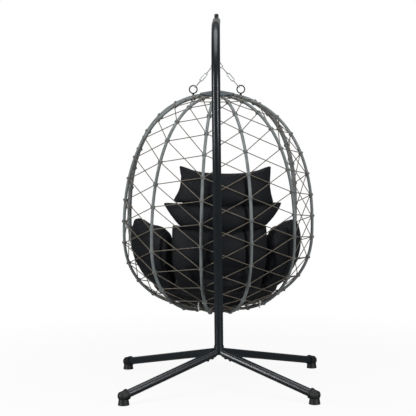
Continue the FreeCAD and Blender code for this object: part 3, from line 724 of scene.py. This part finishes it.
seat_pad()

# ---------------------------------------------------------------- ties

TIES = ((-36, 0.440), (20, 0.455))
TIE_WIDTH, TIE_LENGTH, TIE_HALF_THICKNESS = 0.007, 0.044, 0.0006
TIE_INSET, TIE_CURL, TIE_ROWS = 0.0233, 0.0016, 14


def ties():
    """Short woven tapes that hang with a slight curl."""
    batch = Batch()
    for angle, height in TIES:
        turn = math.radians(angle)
        radial = np.array([math.sin(turn), math.cos(turn), 0])
        side = np.array([math.cos(turn), -math.sin(turn), 0])
        radius = wall_radius(height) - TIE_INSET
        verts, faces = [], []
        for row in range(TIE_ROWS + 1):
            share = row / TIE_ROWS
            curl = TIE_CURL * math.sin(share * 5)
            centre = radial * (radius + curl) + np.array([0, 0, height - TIE_LENGTH * share])
            for edge, skin in ((-1, -1), (1, -1), (1, 1), (-1, 1)):
                verts.append(
                    centre + side * edge * TIE_WIDTH / 2 + radial * skin * TIE_HALF_THICKNESS)
        for row in range(TIE_ROWS):
            for edge in range(4):
                a, b = row * 4 + edge, row * 4 + (edge + 1) % 4
                faces.append([a, b, b + 4, a + 4])
        faces.append([3, 2, 1, 0])
        faces.append([TIE_ROWS * 4 + edge for edge in range(4)])
        batch.add(np.array(verts), faces)
    batch.build("cushion_ties_tape", "tie_tape", MATERIALS["tie_tape"], ["cushion_ties"])


ties()

# ---------------------------------------------------------------- stage, light and camera

BACKGROUND = (1.0, 1.0, 1.0, 1)
FLOOR_HALF, FLOOR_DROP = 60, 0.0005
HOOK_REACH, CAMERA_DISTANCE = 0.395, 5.0
CAMERA_SIDE, CAMERA_HEIGHT = -0.0401, 1.1947
CAMERA_LENS, CAMERA_SENSOR = 85.4, 36
CAMERA_TURN, CAMERA_PITCH, CAMERA_ROLL = -0.0178, 0.0533, -0.010


def studio_floor():
    """A pale floor that fades into the background away from the chair."""
    mesh = bpy.data.meshes.new("studio_floor")
    corners = [(x * FLOOR_HALF, y * FLOOR_HALF, 0) for x, y in ((-1, -1), (1, -1), (1, 1), (-1, 1))]
    mesh.from_pydata(corners, [], [(0, 1, 2, 3)])
    floor = bpy.data.objects.new("studio_floor", mesh)
    floor.location.z = -FLOOR_DROP
    scene.collection.objects.link(floor)
    made = Nodes("studio_floor")
    made.finish(Base_Color=(0.86, 0.86, 0.86, 1), Roughness=0.9)
    far = made.node("ShaderNodeEmission")
    far.inputs["Color"].default_value = BACKGROUND
    path = made.node("ShaderNodeLightPath")
    glow = made.node("ShaderNodeMapRange")
    glow.inputs["To Min"].default_value = 0.12
    made.link(path.outputs["Is Camera Ray"], glow.inputs["Value"])
    made.link(glow.outputs["Result"], far.inputs["Strength"])
    distance = made.node("ShaderNodeVectorMath", operation="LENGTH")
    made.link(made.coords, distance.inputs[0])
    share = made.node("ShaderNodeMapRange", interpolation_type="SMOOTHSTEP")
    share.inputs["From Min"].default_value = 0.9
    share.inputs["From Max"].default_value = 2.6
    share.inputs["To Min"].default_value = 0.92
    made.link(distance.outputs["Value"], share.inputs["Value"])
    mix = made.node("ShaderNodeMixShader")
    made.link(share.outputs["Result"], mix.inputs["Fac"])
    made.link(made.shader.outputs[0], mix.inputs[1])
    made.link(far.outputs[0], mix.inputs[2])
    output = made.tree.nodes["Material Output"]
    made.link(mix.outputs[0], output.inputs["Surface"])
    mesh.materials.append(made.material)


def studio_world():
    """A white surround, dimmer as a light than it looks."""
    world = bpy.data.worlds.new("studio")
    scene.world = world
    world.use_nodes = True
    tree = world.node_tree
    shade = tree.nodes["Background"]
    shade.inputs["Color"].default_value = BACKGROUND
    path = tree.nodes.new("ShaderNodeLightPath")
    level = tree.nodes.new("ShaderNodeMapRange")
    level.inputs["To Min"].default_value = 0.13
    level.inputs["To Max"].default_value = 1.0
    tree.links.new(path.outputs["Is Camera Ray"], level.inputs["Value"])
    tree.links.new(level.outputs["Result"], shade.inputs["Strength"])


def softbox(name, place, aim, width, height, watts):
    data = bpy.data.lights.new(name, "AREA")
    data.shape = "RECTANGLE"
    data.size, data.size_y = width, height
    data.energy = watts
    lamp = bpy.data.objects.new(name, data)
    lamp.location = place
    lamp.rotation_euler = (Vector(aim) - Vector(place)).to_track_quat("-Z", "Y").to_euler()
    scene.collection.objects.link(lamp)


def camera():
    """The photograph's view: from behind, a little above the seat."""
    data = bpy.data.cameras.new("camera")
    data.lens, data.sensor_width = CAMERA_LENS, CAMERA_SENSOR
    turn, pitch, roll = CAMERA_TURN, CAMERA_PITCH, CAMERA_ROLL
    ahead = Vector((-math.sin(turn), -math.cos(turn), 0))
    right = Vector((-math.cos(turn), math.sin(turn), 0))
    up = Vector((0, 0, 1))
    forward = ahead * math.cos(pitch) - up * math.sin(pitch)
    above = up * math.cos(pitch) + ahead * math.sin(pitch)
    rolled_right = right * math.cos(roll) + above * math.sin(roll)
    rolled_up = above * math.cos(roll) - right * math.sin(roll)
    matrix = Matrix((rolled_right, rolled_up, -forward)).transposed().to_4x4()
    matrix.translation = (
        CAMERA_SIDE, hook_line.y + HOOK_REACH + CAMERA_DISTANCE, CAMERA_HEIGHT)
    shot = bpy.data.objects.new("camera", data)
    shot.matrix_world = matrix
    scene.collection.objects.link(shot)
    scene.camera = shot


studio_floor()
studio_world()
softbox("strip_left", (3.3, 2.2, 1.3), (0, 0.2, 1.0), 0.5, 3.0, 80)
softbox("strip_right", (-2.9, 3.4, 1.3), (0, 0.2, 1.0), 0.5, 3.0, 90)
softbox("overhead", (0, 0.5, 4.5), (0, 0, 0.6), 3.0, 3.0, 75)
softbox("front_fill", (0.5, -4.0, 2.2), (0, 0, 1.0), 3.0, 2.5, 8)
camera()

scene.view_settings.view_transform = "Standard"
scene.view_settings.look = "None"
